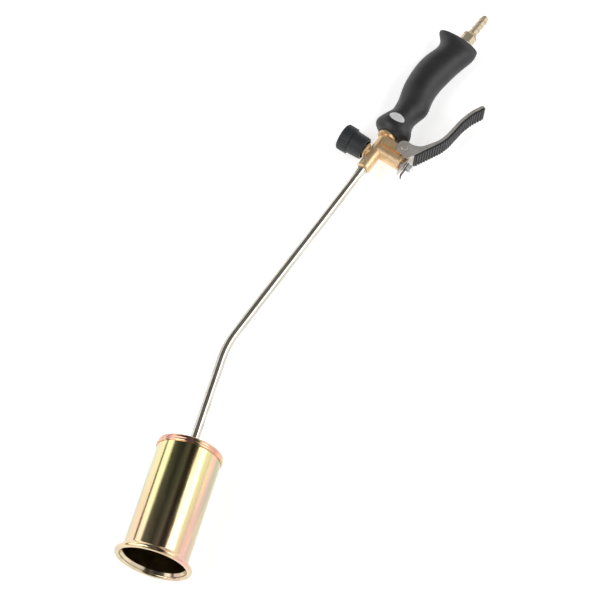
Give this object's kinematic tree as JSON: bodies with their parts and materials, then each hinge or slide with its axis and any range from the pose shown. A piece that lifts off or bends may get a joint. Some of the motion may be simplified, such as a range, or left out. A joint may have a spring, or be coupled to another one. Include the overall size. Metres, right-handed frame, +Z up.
{
  "type": "propane torch",
  "caption": "Hand-held propane roofing torch with a flared-rim bell burner, bent neck tube, squeeze-lever shut-off valve, flame regulator knob and barbed hose tail.",
  "frame": {"origin": "bottom centre of the whole torch's box as it lies on the ground", "axes": "+X from the bell towards the hose tail, nearly along the main tube; +Y from the lever towards the regulator knob; +Z up"},
  "size_m": [0.6702, 0.1384, 0.0716],
  "materials": {
    "bell_zinc": "yellow-passivated zinc plate, bright, with a faint iridescence",
    "holder_zinc": "yellow-passivated zinc plate, olive",
    "cup_steel": "plain steel, slightly dull",
    "tube_chrome": "nickel plate, bright",
    "brass": "forged and turned brass, satin",
    "tail_brass": "pale turned brass, satin",
    "seal_rubber": "black seal rubber",
    "grip_plastic": "black moulded plastic, satin",
    "cover_plastic": "black ribbed plastic, matte",
    "knob_plastic": "black moulded plastic, satin",
    "badge_metal": "plain oval plate, satin",
    "plate_steel": "zinc-plated sheet and bar, satin",
    "bright_zinc": "bright zinc plate",
    "dark_steel": "blackened spring strip",
    "spring_steel": "spring wire"
  },
  "bodies": {
    "torch": {"burner_bell": "bell_zinc", "bell_back_cap": "bell_zinc", "jet_holder": "holder_zinc", "bell_lock_nut": "holder_zinc", "burner_cup": "cup_steel", "gas_jet": "brass", "neck_tube": "tube_chrome", "neck_ferrule": "brass", "neck_nut": "brass", "valve_body": "brass", "valve_gland": "brass", "valve_o_ring": "seal_rubber", "regulator_gland": "brass", "regulator_o_ring": "seal_rubber", "supply_tube": "cup_steel", "grip": "grip_plastic", "grip_badge": "badge_metal", "end_washer": "plate_steel", "hose_tail": "tail_brass", "tail_seal": "seal_rubber", "valve_spring": "spring_steel"},
    "lever": {"lever_channel": "plate_steel", "lever_cover": "cover_plastic", "lever_pin": "plate_steel"},
    "stem": {"valve_stem": "plate_steel", "valve_disc": "seal_rubber", "stem_washer": "bright_zinc", "lock_hook": "dark_steel", "stem_lock_nut": "bright_zinc", "stem_cap_nut": "bright_zinc"},
    "needle": {"regulator_needle": "brass"},
    "knob": {"regulator_spindle": "brass", "regulator_knob": "knob_plastic", "knob_screw": "bright_zinc", "knob_cap": "knob_plastic"}
  },
  "joints": [
    {"name": "lever_squeeze", "type": "hinge", "parent": "torch", "child": "lever", "pos_m": [0.1558, 0.01045, 0.01771], "axis": [0.0379, 0, 0.9993], "range_deg": [0, 14], "stiffness_Nm_per_rad": 0.28, "springref_deg": -22.92},
    {"name": "stem_slide", "type": "slide", "parent": "torch", "child": "stem", "axis": [0, -1, 0], "range_m": [0, 0.003], "deforming": ["valve_spring"]},
    {"name": "regulator_lift", "type": "slide", "parent": "torch", "child": "needle", "axis": [0, 1, 0], "range_m": [0, 0.0019]},
    {"name": "regulator_turn", "type": "hinge", "parent": "torch", "child": "knob", "pos_m": [0.13711, 0.04275, 0.01841], "axis": [0, 1, 0], "range_deg": [0, 540]}
  ],
  "couplings": [
    {"joint": "stem_slide", "follows": "lever_squeeze", "m_per_rad": 0.0118},
    {"joint": "regulator_lift", "follows": "regulator_turn", "m_per_rad": 0.00019894}
  ]
}
